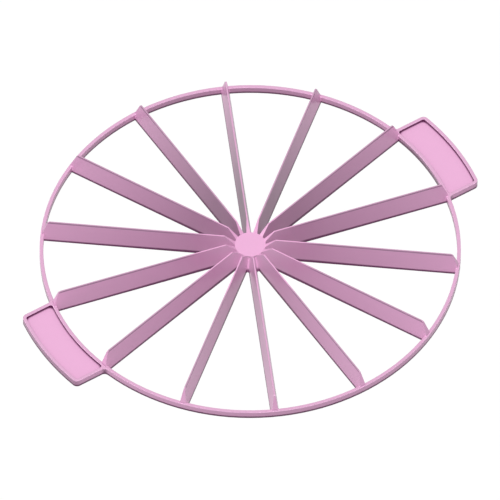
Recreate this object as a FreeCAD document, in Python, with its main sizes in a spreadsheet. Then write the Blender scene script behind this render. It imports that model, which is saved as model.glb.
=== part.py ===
"""Cake portion marker: ring, wedge blades, flat hub and two tray handles, moulded in one piece.

It lies base down, as it is stored, with its cutting edges up. Lengths are millimetres. The origin is
the centre of the flat base, X runs along the two handles and Z points to the cutting edges.
"""
import FreeCAD, Part
import math
import os
import Sketcher
from FreeCAD import Placement, Rotation, Vector

# Driving dimensions, each written once
SIZES = {
    "portions": 14,            # slices marked, and so the number of blades
    "ring_diameter": 270.0,    # outside of the ring
    "ring_wall": 2.3,          # radial thickness of the ring
    "ring_height": 5.6,        # ring and handles, from the base
    "blade_height": 16.6,      # base to cutting edge
    "blade_base": 5.6,         # wedge thickness at the base
    "blade_edge": 0.8,         # wedge thickness at the cutting edge
    "blade_setback": 0.55,     # flat of the ring's top left outside a blade's foot
    "blade_end_lean": 3.9,     # how far the outer end leans in between ring and cutting edge
    "blade_end_round": 2.0,    # outer corner of the cutting edge
    "hub_radius": 9.9,         # flat disc where the blades merge
    "hub_height": 10.3,        # base to that disc
    "hub_slope": 6.6,          # how far the inner ends run from the disc to the cutting edge
    "valley_round": 0.8,       # valley between two blades at the hub
    "handle_width": 64.8,      # between the two straight sides
    "handle_reach": 21.5,      # from the ring's outside to the handle's outer arc
    "handle_corner": 3.5,      # the outer corners of a handle
    "handle_flare": 3.0,       # hollow corner where a side leaves the ring
    "tray_rim": 2.2,           # raised rim round the tray
    "tray_depth": 2.0,         # floor below the rim
    "tray_corner": 1.5,        # corners of the tray
    "edge_round": 0.25,        # top edges of ring and handles, inside and out
    "base_bevel": 0.3,         # every edge of the base
    "lip_bevel": 0.2,          # upper edge of the tray's walls
}
HANDLES = 2
CUT_MARGIN = 1.0               # how far a cutting profile runs past what it cuts
TOUCH = 0.001                  # two lengths closer than this are equal

ORIGIN = (-1, 1)               # the sketch's origin, as a constraint names it
AXES = dict(zip(("DistanceX", "DistanceY"), range(-2, 0)))   # the sketch's vertical and horizontal axis
START, END, CENTRE = range(1, 4)   # points of a line or an arc, as a constraint names them

doc = FreeCAD.newDocument("cake_portion_marker")
sheet = doc.addObject("Spreadsheet::Sheet", "sizes")
for row, (alias, number) in enumerate(SIZES.items(), start=1):
    sheet.set("A%d" % row, alias)
    sheet.set("B%d" % row, str(number))
    sheet.setAlias("B%d" % row, alias)
doc.recompute()
body = doc.addObject("PartDesign::Body", "portion_marker")
body.Label = "portion_marker"


class Size:
    """A length with the sheet formula that gives it, so that one sum serves script and sketch."""

    def __init__(self, number, formula):
        self.number = number
        self.formula = formula

    def __add__(self, other):
        return Size(self.number + other.number, "(%s + %s)" % (self.formula, other.formula))

    def __sub__(self, other):
        return Size(self.number - other.number, "(%s - %s)" % (self.formula, other.formula))

    def half(self):
        return Size(self.number / 2, "(%s / 2)" % self.formula)


def size(alias):
    """A driving dimension from the sheet."""
    return Size(float(getattr(sheet, alias)), "sizes." + alias)


# Places that follow from the driving dimensions
margin = Size(CUT_MARGIN, str(CUT_MARGIN))
ring_radius = size("ring_diameter").half()
ring_middle = ring_radius - size("ring_wall").half()
opening_radius = ring_radius - size("ring_wall")
ring_top = size("ring_height")
blade_reach = ring_radius - size("edge_round")
blade_foot = blade_reach - size("blade_setback")
blade_tip = blade_foot - size("blade_end_lean")
blade_top = size("blade_height")
above_blades = blade_top + margin
hub_radius = size("hub_radius")
hub_top = size("hub_height")
slope_end = hub_radius + size("hub_slope")
handle_radius = ring_radius + size("handle_reach")
handle_side = size("handle_width").half()
tray_radius = handle_radius - size("tray_rim")
tray_side = handle_side - size("tray_rim")
tray_floor = ring_top - size("tray_depth")
beyond_handles = handle_radius + margin


def origin_item(role):
    """A plane or axis of the body's own origin."""
    return next(item for item in body.Origin.OriginFeatures if item.Role == role)


def new_sketch(name, role):
    """An empty sketch on one of the body's origin planes."""
    sketch = body.newObject("Sketcher::SketchObject", name)
    sketch.AttachmentSupport = [(origin_item(role), "")]
    sketch.MapMode = "FlatFace"
    return sketch


def dimension(sketch, kind, where, length):
    """A dimension that follows the sheet."""
    index = sketch.addConstraint(Sketcher.Constraint(kind, *where, length.number))
    sketch.setExpression("Constraints[%d]" % index, length.formula)


def place_point(sketch, kind, index, point, length):
    """Holds a point at a distance from the origin along X or Y, or on the axis where length is None."""
    if length is None:
        sketch.addConstraint(Sketcher.Constraint("PointOnObject", index, point, AXES[kind]))
    else:
        dimension(sketch, kind, (*ORIGIN, index, point), length)


def polygon(name, role, corners):
    """A closed outline of straight lines. A corner's x and y are each a Size, or None on the axis."""
    sketch = new_sketch(name, role)
    places = [Vector(*(value.number if value else 0.0 for value in corner)) for corner in corners]
    for index, place in enumerate(places):
        sketch.addGeometry(Part.LineSegment(place, places[(index + 1) % len(places)]))
    for index, corner in enumerate(corners):
        before = (index - 1) % len(corners)
        sketch.addConstraint(Sketcher.Constraint("Coincident", before, END, index, START))
        for kind, length in zip(("DistanceX", "DistanceY"), corner):
            place_point(sketch, kind, index, START, length)
    return sketch


def circle_about_origin(sketch, radius):
    """A full circle on the sketch's origin."""
    index = sketch.addGeometry(Part.Circle(Vector(), Vector(0, 0, 1), radius.number))
    sketch.addConstraint(Sketcher.Constraint("Coincident", index, CENTRE, *ORIGIN))
    dimension(sketch, "Radius", (index,), radius)


def curved_band(name, inner, outer, side):
    """An outline between two arcs about the origin and two straight sides parallel to X."""
    sketch = new_sketch(name, "XY_Plane")
    across = side.number
    near = math.sqrt(inner.number ** 2 - across ** 2)
    far = math.sqrt(outer.number ** 2 - across ** 2)
    lean_in = math.atan2(across, near)
    lean_out = math.atan2(across, far)
    low, outer_arc, high, inner_arc = range(4)
    sketch.addGeometry(
        [
            Part.LineSegment(Vector(near, -across), Vector(far, -across)),
            Part.ArcOfCircle(Part.Circle(Vector(), Vector(0, 0, 1), outer.number), -lean_out, lean_out),
            Part.LineSegment(Vector(far, across), Vector(near, across)),
            Part.ArcOfCircle(Part.Circle(Vector(), Vector(0, 0, 1), inner.number), -lean_in, lean_in),
        ]
    )
    for first, first_end, second, second_end in (
        (low, END, outer_arc, START),
        (outer_arc, END, high, START),
        (high, END, inner_arc, END),
        (inner_arc, START, low, START),
    ):
        sketch.addConstraint(Sketcher.Constraint("Coincident", first, first_end, second, second_end))
    for index, radius in ((outer_arc, outer), (inner_arc, inner)):
        sketch.addConstraint(Sketcher.Constraint("Coincident", index, CENTRE, *ORIGIN))
        dimension(sketch, "Radius", (index,), radius)
    for index in (low, high):
        sketch.addConstraint(Sketcher.Constraint("Horizontal", index))
    dimension(sketch, "DistanceY", (low, START, *ORIGIN), side)
    dimension(sketch, "DistanceY", (*ORIGIN, high, START), side)
    return sketch


def extrude(kind, name, sketch, length):
    """A Pad above its sketch, or a Pocket below it."""
    feature = body.newObject("PartDesign::" + kind, name)
    feature.Profile = sketch
    feature.setExpression("Length", length.formula)
    finish(feature, grows=kind == "Pad")
    return feature


def turn_away(name, sketch):
    """A Groove about Z that takes the profile away all round."""
    feature = body.newObject("PartDesign::Groove", name)
    feature.Profile = sketch
    feature.ReferenceAxis = (origin_item("Z_Axis"), [""])
    feature.Angle = 360.0
    finish(feature, grows=False)


def repeat_about_z(name, original, count, grows):
    """Copies a feature evenly round the vertical axis. The count is a number or a formula."""
    feature = body.newObject("PartDesign::PolarPattern", name)
    feature.Originals = [original]
    feature.Axis = (origin_item("Z_Axis"), [""])
    feature.Angle = 360.0
    feature.setExpression("Occurrences", str(count))
    finish(feature, grows)


def dress(kind, setting, name, width, wanted, grows):
    """Rounds or bevels every edge that wanted accepts."""
    edges = ["Edge%d" % (i + 1) for i, edge in enumerate(body.Shape.Edges) if wanted(edge)]
    if not edges:
        raise RuntimeError(name + " finds no edge")
    dressed = body.Tip
    feature = body.newObject("PartDesign::" + kind, name)
    feature.Base = (dressed, edges)
    feature.setExpression(setting, width.formula)
    finish(feature, grows)


def round_edges(name, radius, wanted, grows=False):
    """Rounds edges, which adds material only in a hollow corner."""
    dress("Fillet", "Radius", name, radius, wanted, grows)


def bevel_edges(name, width, wanted):
    """Bevels edges at 45 degrees."""
    dress("Chamfer", "Size", name, width, wanted, grows=False)


def finish(feature, grows):
    """Makes the feature the body's newest, computes it and sees that it did its work."""
    before = volumes[-1]
    body.Tip = feature
    doc.recompute()
    if "Invalid" in feature.State or "Error" in feature.State:
        raise RuntimeError("%s failed: %s" % (feature.Name, ", ".join(feature.State)))
    volumes.append(body.Shape.Volume)
    if (volumes[-1] > before) != grows:
        raise RuntimeError(feature.Name + " went the wrong way")
    print("%-16s %10.1f mm3" % (feature.Name, volumes[-1]))


def same(first, second):
    return abs(first - second) < TOUCH


def middle(edge):
    """The point halfway along an edge."""
    return edge.valueAt((edge.FirstParameter + edge.LastParameter) / 2)


def radius_at(edge):
    """How far the middle of an edge lies from the vertical axis."""
    point = middle(edge)
    return math.hypot(point.x, point.y)


def lies_flat(edge, height):
    """Whether the whole edge lies at one height."""
    return same(edge.BoundBox.ZMin, height.number) and same(edge.BoundBox.ZMax, height.number)


def rises(edge, low, high):
    """Whether the edge runs from one height to the other."""
    return same(edge.BoundBox.ZMin, low) and same(edge.BoundBox.ZMax, high)


volumes = [0.0]

# The ring
ring_outline = new_sketch("ring_outline", "XY_Plane")
circle_about_origin(ring_outline, ring_radius)
circle_about_origin(ring_outline, opening_radius)
extrude("Pad", "ring", ring_outline, ring_top)

# Two handles, rooted in the middle of the ring's wall
handle_outline = curved_band("handle_outline", ring_middle, handle_radius, handle_side)
handle = extrude("Pad", "handle", handle_outline, ring_top)
repeat_about_z("handles", handle, HANDLES, grows=True)
round_edges(
    "handle_corners",
    size("handle_corner"),
    lambda edge: rises(edge, 0.0, ring_top.number) and same(radius_at(edge), handle_radius.number),
)
round_edges(
    "handle_flares",
    size("handle_flare"),
    lambda edge: rises(edge, 0.0, ring_top.number) and same(radius_at(edge), ring_radius.number),
    grows=True,
)

# Blades, wedges in section, run out from the centre. The first lies half a portion round from X
blade_section = new_sketch("blade_section", "YZ_Plane")
half_portion = 180.0 / size("portions").number
blade_section.AttachmentOffset = Placement(Vector(), Rotation(Vector(0, 1, 0), half_portion))
blade_section.setExpression("AttachmentOffset.Rotation.Angle", "180 deg / sizes.portions")
base_half = size("blade_base").half().number
edge_half = size("blade_edge").half().number
wedge = [
    Vector(-base_half, 0),
    Vector(base_half, 0),
    Vector(edge_half, blade_top.number),
    Vector(-edge_half, blade_top.number),
]
base_line, right_flank, cutting_edge, left_flank = range(4)
for side, corner in enumerate(wedge):
    blade_section.addGeometry(Part.LineSegment(corner, wedge[(side + 1) % 4]))
for side in range(4):
    joint = ("Coincident", side, END, (side + 1) % 4, START)
    blade_section.addConstraint(Sketcher.Constraint(*joint))
for level in (base_line, cutting_edge):
    mirrored = ("Symmetric", level, START, level, END, AXES["DistanceX"])
    blade_section.addConstraint(Sketcher.Constraint(*mirrored))
place_point(blade_section, "DistanceY", base_line, START, None)
place_point(blade_section, "DistanceY", cutting_edge, START, blade_top)
dimension(blade_section, "DistanceX", (base_line, START, base_line, END), size("blade_base"))
dimension(blade_section, "DistanceX", (cutting_edge, END, cutting_edge, START), size("blade_edge"))
blade = extrude("Pad", "blade", blade_section, blade_reach)
repeat_about_z("blades", blade, "sizes.portions", grows=True)

# Valleys between neighbouring blades
round_edges(
    "valleys",
    size("valley_round"),
    lambda edge: rises(edge, 0.0, blade_top.number) and radius_at(edge) < slope_end.number,
    grows=True,
)

# The hub, a plug in the middle where the blades merge
hub_outline = new_sketch("hub_outline", "XY_Plane")
circle_about_origin(hub_outline, hub_radius)
extrude("Pad", "hub", hub_outline, hub_top)

# The outer ends lean in from the ring's top, and the inner ends slope down to the flat disc
outer_profile = polygon(
    "outer_profile",
    "XZ_Plane",
    [
        (blade_foot, ring_top),
        (beyond_handles, ring_top),
        (beyond_handles, above_blades),
        (blade_tip, above_blades),
        (blade_tip, blade_top),
    ],
)
turn_away("outer_ends", outer_profile)
inner_profile = polygon(
    "inner_profile",
    "XZ_Plane",
    [
        (None, hub_top),
        (hub_radius, hub_top),
        (slope_end, blade_top),
        (slope_end, above_blades),
        (None, above_blades),
    ],
)
turn_away("inner_ends", inner_profile)
round_edges(
    "blade_corners",
    size("blade_end_round"),
    lambda edge: lies_flat(edge, blade_top) and same(radius_at(edge), blade_tip.number),
)

# Top edges: rounded outside, all along ring and handles, and bevelled inside the ring
round_edges(
    "outer_edges",
    size("edge_round"),
    lambda edge: lies_flat(edge, ring_top) and radius_at(edge) > ring_radius.number - TOUCH,
)
bevel_edges(
    "inner_edges",
    size("edge_round"),
    lambda edge: lies_flat(edge, ring_top) and same(radius_at(edge), opening_radius.number),
)

# Trays: a floor sunk inside a rim, closed on its fourth side by the ring
tray_outline = curved_band("tray_outline", ring_radius, tray_radius, tray_side)
tray_outline.setExpression("AttachmentOffset.Base.z", ring_top.formula)
tray = extrude("Pocket", "tray", tray_outline, size("tray_depth"))
repeat_about_z("trays", tray, HANDLES, grows=False)
round_edges(
    "tray_corners",
    size("tray_corner"),
    lambda edge: rises(edge, tray_floor.number, ring_top.number),
    grows=True,
)
bevel_edges(
    "tray_lips",
    size("lip_bevel"),
    lambda edge: lies_flat(edge, ring_top)
    and abs(middle(edge).y) < tray_side.number + TOUCH
    and radius_at(edge) > ring_radius.number - TOUCH,
)

# Every edge of the base
bevel_edges("base_edges", size("base_bevel"), lambda edge: same(edge.BoundBox.ZMax, 0.0))

for item in doc.Objects:
    if "Invalid" in item.State or "Error" in item.State:
        raise RuntimeError("%s failed: %s" % (item.Name, ", ".join(item.State)))
marker = body.Shape
if marker.isNull() or not marker.isValid() or len(marker.Solids) != 1:
    raise RuntimeError("the marker is not one valid solid")
os.makedirs("parts", exist_ok=True)
marker.exportStep("parts/%s.step" % body.Label)
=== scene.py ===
"""Cake portion marker in light pink plastic, lying on a white table with its cutting edges up."""
import math

import bpy
import numpy as np
from mathutils import Euler, Matrix, Vector

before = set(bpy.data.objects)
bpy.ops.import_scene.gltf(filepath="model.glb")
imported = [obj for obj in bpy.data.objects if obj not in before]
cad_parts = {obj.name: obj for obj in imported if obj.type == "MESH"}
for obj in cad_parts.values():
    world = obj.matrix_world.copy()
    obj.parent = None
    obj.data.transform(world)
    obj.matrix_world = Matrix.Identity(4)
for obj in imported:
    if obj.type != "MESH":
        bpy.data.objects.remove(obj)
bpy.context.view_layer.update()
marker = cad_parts["portion_marker"]
scene = bpy.context.scene
scene.view_settings.view_transform = "Standard"


class Socket:
    """A shader output that Python's own operators can be used on. Each operator adds a Math node."""

    def __init__(self, tree, output):
        self.tree = tree
        self.output = output

    def maths(self, operation, *others, last=False, clamp=False):
        """One Math node on this value and others. This value comes first, or last where asked."""
        values = (*others, self) if last else (self, *others)
        settings = {"operation": operation, "use_clamp": clamp}
        return self.tree.node("ShaderNodeMath", settings, dict(enumerate(values)))[0]

    def __add__(self, other):
        return self.maths("ADD", other)

    def __sub__(self, other):
        return self.maths("SUBTRACT", other)

    def __rsub__(self, other):
        return self.maths("SUBTRACT", other, last=True)

    def __mul__(self, other):
        return self.maths("MULTIPLY", other)

    def __truediv__(self, other):
        return self.maths("DIVIDE", other)

    def __rtruediv__(self, other):
        return self.maths("DIVIDE", other, last=True)

    __radd__ = __add__
    __rmul__ = __mul__

    def clamped(self):
        """This value, held between 0 and 1."""
        return self.maths("ADD", 0.0, clamp=True)

    def ramp(self, start, full):
        """0 where this value is at the start, 1 where it is at the full mark, and straight between."""
        return ((self - start) * (1.0 / (full - start))).clamped()


class Tree:
    """The nodes of a material or of the world, under construction."""

    def __init__(self, nodes):
        self.made = nodes
        self.made.nodes.clear()

    def node(self, kind, settings=None, values=None):
        """Adds a node with its settings, then fills its inputs, by name or by number, with links or
        constants, and gives its outputs."""
        added = self.made.nodes.new(kind)
        for name, value in (settings or {}).items():
            setattr(added, name, value)
        for place, value in (values or {}).items():
            if isinstance(value, Socket):
                self.made.links.new(value.output, added.inputs[place])
            else:
                added.inputs[place].default_value = value
        return [Socket(self, output) for output in added.outputs]

    def noise(self, place, scale, detail, roughness):
        """Soft noise over the part, from 0 to 1, with this many patches to the metre."""
        values = {"Vector": place, "Scale": scale, "Detail": detail, "Roughness": roughness}
        return self.node("ShaderNodeTexNoise", values=values)[0]

    def parts(self, vector):
        """The three numbers of a vector."""
        return self.node("ShaderNodeSeparateXYZ", values={"Vector": vector})

    def dot(self, first, second):
        """How far two directions agree, 1 where they are the same."""
        return self.node("ShaderNodeVectorMath", {"operation": "DOT_PRODUCT"}, {0: first, 1: second})[1]

    def blend(self, share, first, second):
        """One colour going over into another as the share goes from 0 to 1."""
        return self.node("ShaderNodeMix", {"data_type": "RGBA"}, {0: share, 6: first, 7: second})[2]

    def seen(self):
        """1 for the rays by which the eye, a reflection or a clear body sees a thing, and 0 for light."""
        names = ("Is Camera Ray", "Is Glossy Ray", "Is Transmission Ray")
        rays = {ray.output.name: ray for ray in self.node("ShaderNodeLightPath")}
        camera, glossy, transmission = (rays[name] for name in names)
        return (camera + glossy + transmission).clamped()

    def end(self, kind, shader):
        """The last node, which takes the shader."""
        self.node(kind, values={"Surface": shader})


def linear(red, green, blue):
    """A colour on the usual 0 to 255 scale as the linear values that a shader takes."""
    scaled = np.array([red, green, blue]) / 255.0
    curve = np.where(scaled <= 0.04045, scaled / 12.92, ((scaled + 0.055) / 1.055) ** 2.4)
    return (*(float(value) for value in curve), 1.0)


WHITE = linear(255, 255, 255)


# The plastic of the marker

TOP_PINK = linear(241, 182, 222)
WARM_PINK = linear(239, 178, 219)
# The colours from here down are painted shade, painted light and painted highlight, not the plastic's own
# tone
PAINTED_SHADE_PINK = linear(108, 68, 98)
VALLEY_LIGHT_PINK = linear(224, 194, 216)
SHADE_LINE_MAUVE = linear(98, 32, 82)
RIM_SHADE_PINK = linear(228, 177, 211)
HIGHLIGHT_PINK = linear(250, 198, 236)
EDGE_SHADE_PINK = linear(196, 142, 180)
BLADE_TOP_SHADE_PINK = linear(206, 160, 191)
BLADE_EDGE_SHADE_PINK = linear(172, 128, 160)

# Distances from the axis in metres, from where a tone starts to where it is full
SHADE = (0.135, 0.0405)
VALLEY = (0.034, 0.01733)
BEYOND_HUB = (0.03, 0.0425)
INSIDE_RING = (0.131, 0.129)
FROM_RING = (0.131, 0.133)
FROM_TRAY = (0.1335, 0.1355)
FROM_HANDLE_END = (0.152, 0.154)

# Heights above the table in metres, in the same way
RIM_HEIGHT = (0.0045, 0.005)
LOW_HEIGHT = (0.0068, 0.0058)
BLADE_EDGE_HEIGHT = (0.0152, 0.015825)
BLADE_TOP_HEIGHT = (0.0162, 0.016533)

# Other measures in the same way: metres along X, the uprightness of a face, the square of the cosine
# between a blade and the shaded side, and the share of its surroundings that a point doesn't see
FAR_RING_ACROSS = (0.127, 0.132)
STEEPNESS = (0.1875, 0.8125)
IN_LINE_SQUARE = (5 / 6, 1.0)
TRAY_WALL_HOLLOW = (0.03, 0.13)
TRAY_FOOT_HOLLOW = (0.3, 0.55)

# Lengths in metres
AXIS_GAP = 0.001
BEYOND_HUB_SHIFT = 0.014
EDGE_WIDTH = 0.001
HOLLOW_REACH = 0.003
LINE_HEIGHT = 0.0014

# Directions over the table, as X and Y: to the shaded side, and to the back for the rims' edges
SHADED_SIDE = (0.47, 0.88)
BACK_SIDE = (0.54, 0.84)

# Shares and gains
WARM_SHARE = 0.6
SHADE_SHARE = 0.32
SHADE_LEAN = 0.75
IN_LINE_SHADE = 0.45
IN_LINE_CLEAR = 0.8
WALL_SHARE = 0.3
WALL_EXTRA = 1.4
VALLEY_SHARE = 0.6
EDGE_GAIN = 6.0
BACK_GAIN = 2.5
BACK_START = 0.4
LINE_REACH = 1.6
LINE_HUB_REACH = 0.4
LINE_GAIN = 1.6

# The polish
ROUGHNESS = 0.27
ROUGHNESS_CLOUDS = 0.08
ROUGHNESS_RIPPLE = 0.05
RELIEF_STRENGTH = 0.08
RELIEF_DEPTH = 0.0002
GRAIN_SHARE = 0.1


def moulded_plastic():
    """Light pink plastic from a polished mould.

    Painted shade darkens the flanks of the blades towards the hub, more on one side of the part than
    on the other. A fine mauve line of painted shade runs along the foot of every upright wall, where the
    part meets the table, and round the walls of the trays. The rims have narrow tones of painted
    highlight and painted shade, and the cutting edges narrow tones of painted shade.
    """
    data = bpy.data.materials.new("moulded_pink_plastic")
    data.use_nodes = True
    tree = Tree(data.node_tree)
    place = tree.node("ShaderNodeTexCoord")[3]
    across, along, height = tree.parts(place)
    facing = tree.node("ShaderNodeNewGeometry")[1]
    facing_across, facing_along, flatness = tree.parts(facing)
    upright = 1.0 - flatness.maths("ABSOLUTE")
    radius = (across * across + along * along).maths("SQRT")
    near_radius = radius + AXIS_GAP
    clouds = tree.noise(place, scale=38.0, detail=3.0, roughness=0.55)
    ripple = tree.noise(place, scale=260.0, detail=2.0, roughness=0.5)
    grain = tree.noise(place, scale=2600.0, detail=2.0, roughness=0.6)
    tone = tree.blend(WARM_SHARE * clouds, TOP_PINK, WARM_PINK)

    # Painted shade: the flanks of the blades darker towards the hub and on the shaded side, and the walls
    # that turn from the light darker
    near_hub = radius.ramp(*SHADE)
    side = (SHADED_SIDE[0] * across + SHADED_SIDE[1] * along) / near_radius
    in_line = (side * side).ramp(*IN_LINE_SQUARE) * radius.ramp(*INSIDE_RING)
    lean = 1.0 + SHADE_LEAN * side * (1.0 + side) + IN_LINE_SHADE * in_line
    flank = upright.ramp(*STEEPNESS)
    outward = (facing_across * across + facing_along * along) / near_radius
    far_ring = across.ramp(*FAR_RING_ACROSS)
    inner_wall = (0.0 - outward).clamped() * radius.ramp(*FROM_RING)
    handle_end = outward.clamped() * radius.ramp(*FROM_HANDLE_END)
    walls = inner_wall * (1.0 + WALL_EXTRA * far_ring) + WALL_EXTRA * handle_end
    shade = SHADE_SHARE * near_hub * lean * flank + WALL_SHARE * walls
    tone = tree.blend(shade.clamped(), tone, PAINTED_SHADE_PINK)
    # Painted light: the valleys near the hub paler and greyer on the side away from the shaded side
    lit_valley = radius.ramp(*VALLEY) * (0.5 - 0.5 * side) * flank
    tone = tree.blend(VALLEY_SHARE * lit_valley, tone, VALLEY_LIGHT_PINK)

    # Painted shade on the tops of the rims, with a painted highlight where their edges turn to the front
    # and painted shade on their edges at the back
    low = height.ramp(*LOW_HEIGHT)
    rim = height.ramp(*RIM_HEIGHT) * low * radius.ramp(*FROM_RING) * flatness.clamped()
    tone = tree.blend(rim, tone, RIM_SHADE_PINK)
    rounded = tree.node("ShaderNodeBevel", {"samples": 16}, {"Radius": EDGE_WIDTH})[0]
    turned = EDGE_GAIN * (1.0 - tree.dot(rounded, facing)) * low
    rounded_across, rounded_along, _ = tree.parts(rounded)
    back = BACK_GAIN * (BACK_SIDE[0] * rounded_across + BACK_SIDE[1] * rounded_along)
    tone = tree.blend((turned * (BACK_START - back)).clamped(), tone, HIGHLIGHT_PINK)
    tone = tree.blend((turned * (back - BACK_START)).clamped(), tone, EDGE_SHADE_PINK)

    # Painted shade: the cutting edges darker away from the hub
    beyond_hub = (radius + BEYOND_HUB_SHIFT * side).ramp(*BEYOND_HUB)
    beyond_hub = beyond_hub * (1.0 - IN_LINE_CLEAR * in_line)
    on_top = height.ramp(*BLADE_TOP_HEIGHT) * flatness.clamped()
    tone = tree.blend(on_top * beyond_hub, tone, BLADE_TOP_SHADE_PINK)
    under_top = height.ramp(*BLADE_EDGE_HEIGHT) * flank
    tone = tree.blend(under_top * beyond_hub, tone, BLADE_EDGE_SHADE_PINK)

    # Painted shade: fine dark lines at the foot of the walls, where the part meets the table, and in the
    # trays
    occlusion = tree.node(
        "ShaderNodeAmbientOcclusion", {"only_local": True, "samples": 32}, {"Distance": HOLLOW_REACH}
    )[1]
    hollow = 1.0 - occlusion
    trays = radius.ramp(*FROM_TRAY)
    tray_wall = hollow.ramp(*TRAY_WALL_HOLLOW) * trays
    tray_foot = hollow.ramp(*TRAY_FOOT_HOLLOW) * trays * flatness.clamped()
    reach = LINE_REACH + LINE_HUB_REACH * near_hub * near_hub + inner_wall * far_ring
    foot = (reach - height * (1.0 / LINE_HEIGHT)).clamped()
    line = ((tray_wall + foot) * (upright * LINE_GAIN) + tray_foot).clamped()
    tone = tree.blend(line, tone, SHADE_LINE_MAUVE)

    roughness = ROUGHNESS + ROUGHNESS_CLOUDS * clouds + ROUGHNESS_RIPPLE * ripple
    bumps = ripple + GRAIN_SHARE * grain
    relief = tree.node(
        "ShaderNodeBump",
        values={"Strength": RELIEF_STRENGTH, "Distance": RELIEF_DEPTH, "Height": bumps},
    )[0]
    plastic = tree.node(
        "ShaderNodeBsdfPrincipled",
        values={"Base Color": tone, "Roughness": roughness, "IOR": 1.46, "Normal": relief},
    )[0]
    tree.end("ShaderNodeOutputMaterial", plastic)
    return data


marker.data.materials.clear()
marker.data.materials.append(moulded_plastic())


# The table

TABLE_RADIUS = 3.0
TABLE_HEIGHT = -0.00002
TABLE_GREY = (0.1, 0.1, 0.1, 1.0)
TABLE_GLOW = 0.92


def table_top():
    """White to the eye and to the plastic's reflections, but a dim source of light from below."""
    data = bpy.data.materials.new("white_table")
    data.use_nodes = True
    tree = Tree(data.node_tree)
    matt = tree.node("ShaderNodeBsdfDiffuse", values={"Color": TABLE_GREY})[0]
    glow = tree.node("ShaderNodeEmission", values={"Color": WHITE, "Strength": TABLE_GLOW * tree.seen()})[0]
    tree.end("ShaderNodeOutputMaterial", tree.node("ShaderNodeAddShader", values={0: matt, 1: glow})[0])
    return data


def disc(name, radius, height):
    """A flat round sheet: a point is (r cos t, r sin t, height) for r from 0 to the radius."""
    steps = 96
    turn = np.linspace(0.0, 2 * math.pi, steps, endpoint=False)
    rim = np.stack([radius * np.cos(turn), radius * np.sin(turn), np.full(steps, height)], axis=1)
    mesh = bpy.data.meshes.new(name)
    mesh.from_pydata(rim.tolist(), [], [list(range(steps))])
    made = bpy.data.objects.new(name, mesh)
    scene.collection.objects.link(made)
    return made


table = disc("table", TABLE_RADIUS, TABLE_HEIGHT)
table.data.materials.append(table_top())


# Light: a white sky all round and two broad lamps, which fill the shadows as large soft boxes do

SKY = 0.365
LAMP_SPREAD = math.radians(30.0)


def broad_lamp(name, turn, rise, power):
    """A lamp without hard shadows, at a bearing from X and a height above the table in degrees."""
    made = bpy.data.objects.new(name, bpy.data.lights.new(name, "SUN"))
    made.data.energy = power
    made.data.angle = LAMP_SPREAD
    made.data.use_shadow = False
    made.rotation_euler = (math.radians(90.0 - rise), 0.0, math.radians(turn + 90.0))
    scene.collection.objects.link(made)


def white_sky():
    """White to the eye and to the plastic's reflections, but a dim source of light."""
    data = bpy.data.worlds.new("white_room")
    data.use_nodes = True
    tree = Tree(data.node_tree)
    strength = SKY + (1.0 - SKY) * tree.seen()
    background = tree.node("ShaderNodeBackground", values={"Color": WHITE, "Strength": strength})[0]
    tree.end("ShaderNodeOutputWorld", background)
    return data


broad_lamp("left_lamp", turn=150.0, rise=30.0, power=0.97)
broad_lamp("right_lamp", turn=250.0, rise=60.0, power=1.67)
scene.world = white_sky()


# The camera looks down on the marker without perspective

CAMERA_TURN = math.radians(-32.5)
CAMERA_RISE = math.radians(51.12)
CAMERA_ROLL = math.radians(-0.12)
CAMERA_DISTANCE = 1.2
CAMERA_WIDTH = 0.32046
LOOKED_AT = Vector((0.0018, 0.00311, 0.0))

camera = bpy.data.objects.new("camera", bpy.data.cameras.new("camera"))
camera.data.type = "ORTHO"
camera.data.ortho_scale = CAMERA_WIDTH
away = Vector(
    (
        math.sin(CAMERA_TURN) * math.cos(CAMERA_RISE),
        -math.cos(CAMERA_TURN) * math.cos(CAMERA_RISE),
        math.sin(CAMERA_RISE),
    )
)
camera.location = LOOKED_AT + CAMERA_DISTANCE * away
aim = Euler((math.pi / 2 - CAMERA_RISE, 0.0, CAMERA_TURN)).to_matrix()
camera.rotation_euler = (aim @ Matrix.Rotation(CAMERA_ROLL, 3, "Z")).to_euler()
scene.collection.objects.link(camera)
scene.camera = camera
